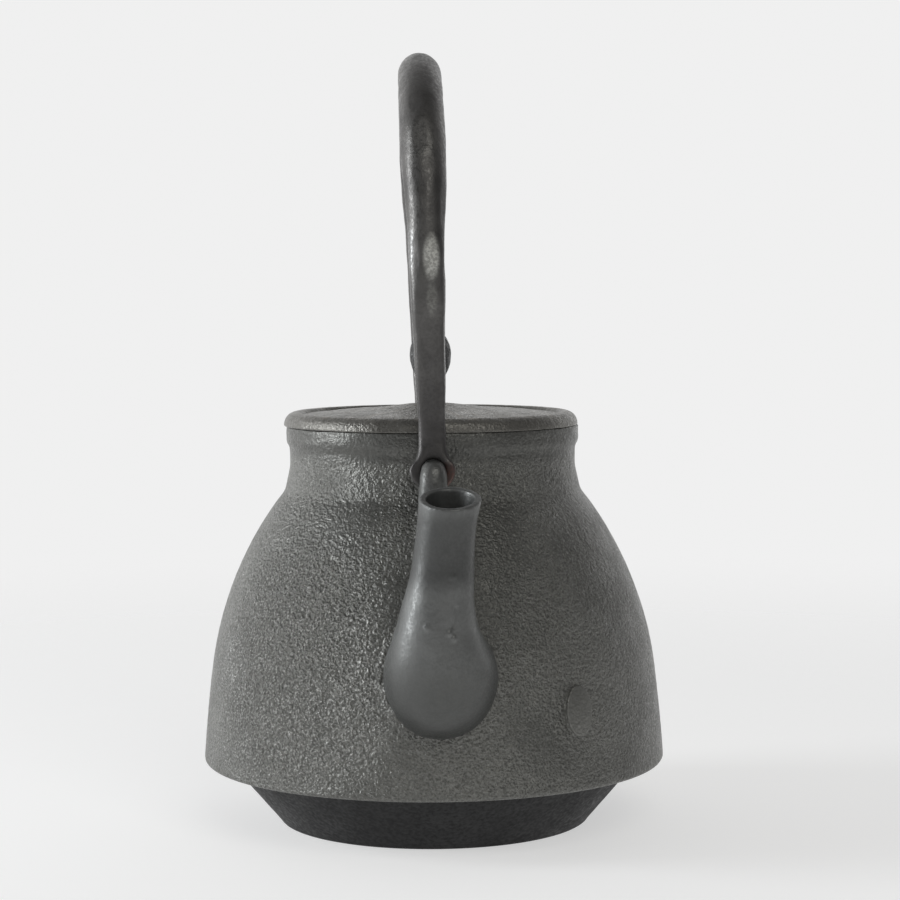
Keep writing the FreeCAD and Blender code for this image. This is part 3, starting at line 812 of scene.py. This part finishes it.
def soften(piece, passes, band=None):
    """Evens out the creases of a mesh, all over or in a band of heights with soft ends."""
    soft = piece.modifiers.new("soft", "SMOOTH")
    soft.factor = 0.5
    if band:
        points, _ = points_of(piece)
        shares = fade(points[:, 2], band[0], band[1]) * (1 - fade(points[:, 2], band[2], band[3]))
        group = piece.vertex_groups.new(name="band")
        for index in np.flatnonzero(shares):
            group.add([int(index)], float(shares[index]), "REPLACE")
        soft.vertex_group = group.name
    soft.iterations = passes
    graph = bpy.context.evaluated_depsgraph_get()
    piece.data = bpy.data.meshes.new_from_object(piece.evaluated_get(graph))
    piece.modifiers.clear()
    piece.vertex_groups.clear()


def cut_at(whole, name, height, above):
    """What a piece has above or below a height, closed with a flat face there."""
    work = bmesh.new()
    work.from_mesh(whole.data)
    everything = work.verts[:] + work.edges[:] + work.faces[:]
    bmesh.ops.bisect_plane(work, geom=everything, plane_co=(0, 0, height), plane_no=(0, 0, 1),
                           clear_inner=above, clear_outer=not above)
    rims = [e for e in work.edges if e.is_boundary]
    bmesh.ops.holes_fill(work, edges=rims)
    for edge in rims:
        edge.smooth = False
    return new_piece(name, work)


def one_side(whole, name, side):
    """What a piece has in front of the kettle's axis, side -1, or behind it, side 1."""
    work = bmesh.new()
    work.from_mesh(whole.data)
    away = [v for v in work.verts if v.co.y * side < 0]
    bmesh.ops.delete(work, geom=away, context="VERTS")
    return new_piece(name, work)


def new_piece(name, work):
    """A new object from a bmesh, shaded smooth but for its sharp edges."""
    mesh = bpy.data.meshes.new(name)
    work.to_mesh(mesh)
    work.free()
    mesh.shade_smooth()
    piece = bpy.data.objects.new(name, mesh)
    scene.collection.objects.link(piece)
    return piece


def place(piece, body, slot, material, *nodes):
    """Puts a finished piece on its body, in the place of its CAD nodes."""
    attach(piece, body)
    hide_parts(*nodes)
    coat(piece, material)


def rough_metal():
    """The shell's sand-cast skin, with painted glints lightening its grain tops in the patch at the front
    left where the window's highlight falls, a darker lip, and a smoother pad tinted lighter as a painted
    highlight.
    """
    iron = Iron("rough_iron", (0.12, 0.12, 0.112), (0.16, 0.16, 0.149), 0.38, 30 * MM, 0.7 * MM, 0.9,
                metallic=0.6, pitted=0.9)
    tree = iron.tree
    pad = patch(tree, iron.where, PAD_MIDDLE, (PAD_HALVES[0], PAD_HALVES[0], PAD_HALVES[1]), 0.1)
    # Painted highlight: the pad is tinted lighter than the wall around it, standing in for the light its
    # raised edge catches.
    iron.tint(pad, (0.2, 0.2, 0.188), 0.6)
    height = add(tree, "SeparateXYZ", {0: iron.where}).outputs["Z"]
    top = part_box("kettle_shell")[1].z
    lip = spread(tree, height, top - LIP_STARTS, top - LIP_FULL)
    iron.tint(lip, (0.09, 0.09, 0.085), 0.6)
    coarse = patch(tree, iron.where, (-0.045, -0.055, 0.06), (36 * MM, 36 * MM, 37 * MM), 0.5)
    strength = times(tree, spread(tree, lip, 0, 1, 1, 0.5), spread(tree, pad, 0, 1, 1, 0.3))
    strength = times(tree, strength, spread(tree, coarse, 0, 1, 0.6, 1))
    # Painted glints: a lighter colour on the grain tops, only in the patch at the front left where the
    # window's highlight falls.
    painted_glints = times(tree, spread(tree, iron.fine, 0.52, 0.66), spread(tree, coarse, 0, 1, 0.3, 1))
    iron.tint(times(tree, painted_glints, strength), (0.5, 0.5, 0.48), 0.6)
    return iron.finished(strength)


def fired_metal():
    """The pan's matte black, burnt by the fire."""
    iron = Iron("fired_iron", (0.012, 0.012, 0.0125), (0.018, 0.018, 0.0185), 0.57, 25 * MM, 1.2 * MM, 0.06)
    iron.shader.inputs["Specular IOR Level"].default_value = 0.22
    return iron.finished()


def spout_metal():
    """The spout's smooth skin, with painted shade darkening its bulb and its mouth."""
    iron = Iron("smooth_iron", (0.142, 0.145, 0.143), (0.168, 0.172, 0.169), 0.44, 18 * MM, 0.9 * MM, 0.05,
                metallic=0.7, pitted=0.15)
    mouth = patch(iron.tree, iron.where, (0.003, -0.09, 0.099), (30 * MM, 30 * MM, 11 * MM), 0.3)
    bulb = patch(iron.tree, iron.where, (0.003, -0.085, 0.045), (40 * MM, 40 * MM, 20 * MM), 0.5)
    # Painted shade: darker tints on the bulb and at the mouth, which faces up into the dark room, in place
    # of shading from the lamps.
    iron.tint(bulb, (0.095, 0.097, 0.094), 0.9)
    iron.tint(mouth, (0.07, 0.071, 0.07), 0.8)
    return iron.finished()


def ear_metal():
    """The lugs' satin skin."""
    iron = Iron("ear_iron", (0.1, 0.103, 0.1), (0.15, 0.15, 0.145), 0.4, 6 * MM, 0.8 * MM, 0.1,
                metallic=0.5, pitted=0.5)
    return iron.finished()


def lid_metal():
    """The lid's worn brownish skin, with streaks that run out from the knob."""
    iron = Iron("lid_iron", (0.135, 0.13, 0.119), (0.19, 0.184, 0.17), 0.38, 12 * MM, 0.7 * MM, 0.25,
                metallic=0.6, pitted=0.6)
    rays = times(iron.tree, rays_of(iron, middle_of("lid_plate")), upward(iron))
    iron.tint(rays, (0.3, 0.27, 0.23), 0.45)
    return iron.finished()


def knob_metal():
    """The knob's dark pitted skin."""
    iron = Iron("knob_iron", (0.05, 0.05, 0.05), (0.12, 0.12, 0.12), 0.5, 4 * MM, 0.8 * MM, 0.3,
                metallic=0.5)
    return iron.finished()


def handle_metal():
    """The handle's oiled skin: painted shade darkening the front fork, bright worn places above it, a
    painted reflection lightening the facet at the shoulder, and a reddish right claw."""
    iron = Iron("handle_iron", (0.095, 0.092, 0.09), (0.14, 0.136, 0.132), 0.43, 16 * MM, 0.9 * MM, 0.05,
                metallic=0.85, pitted=0.2)
    # Painted shade: the front fork, which faces the front lamp, is tinted darker than the rest of the
    # handle.
    fork = patch(iron.tree, iron.where, (0, -0.062, 0.128), (14 * MM, 14 * MM, 22 * MM), 0.5)
    worn = iron.mottled((0.0, -0.07, 0.1845), (2.3 * MM, 5 * MM, 6.2 * MM))
    worn_below = iron.mottled((0.0001, -0.07, 0.172), (1.6 * MM, 5 * MM, 5 * MM))
    worn_left = iron.mottled((-0.0066, -0.069, 0.187), (1.2 * MM, 5 * MM, 7 * MM))
    # Painted reflection: the flat facet at the shoulder is tinted lighter, standing in for the bright
    # surroundings it reflects.
    facet_reflection = patch(iron.tree, iron.where, (-0.0026, -0.0632, 0.2205), (5 * MM, 6 * MM, 6.5 * MM), 0.15)
    right_claw = iron.mottled((0.0045, -0.0585, 0.1175), (3 * MM, 5 * MM, 4 * MM))
    for share, colour, strength in (
            (fork, (0.07, 0.067, 0.067), 0.7), (worn, (0.75, 0.75, 0.71), 0.85),
            (worn_below, (0.3, 0.3, 0.28), 0.5), (worn_left, (0.4, 0.4, 0.4), 0.5),
            (facet_reflection, (0.2, 0.196, 0.19), 0.6), (right_claw, (0.16, 0.085, 0.07), 0.7)):
        iron.tint(share, colour, strength)
    return iron.finished()


def build():
    """Every piece, its body, its material slot and its material."""
    lid, ear, handle = lid_metal(), ear_metal(), handle_metal()
    place(make_shell(), "kettle", "rough_iron", rough_metal(), "kettle_shell")
    place(make_pan(), "kettle", "fired_iron", fired_metal(), "base_pan")
    place(make_spout(), "kettle", "smooth_iron", spout_metal(), "spout")
    hoop, front_claw, rear_claw = make_handle()
    place(hoop, "handle", "handle_iron", handle, "handle_hoop")
    for side, claw in (("front", front_claw), ("rear", rear_claw)):
        place(make_lug(f"{side}_ear", f"{side}_lug"), "kettle", "smooth_iron", ear, f"{side}_lug")
        place(claw, "handle", "handle_iron", handle, f"{side}_fork")
    place(make_lid(), "lid", "lid_iron", lid, "lid_plate")
    place(make_knob(), "knob", "knob_iron", knob_metal(), "knob")
    for node in ("knob_seat", "rivet_washer"):
        coat(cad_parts[node], lid)


scene.view_settings.view_transform = "Standard"
place_camera()
light_scene()
lay_floor()
build()
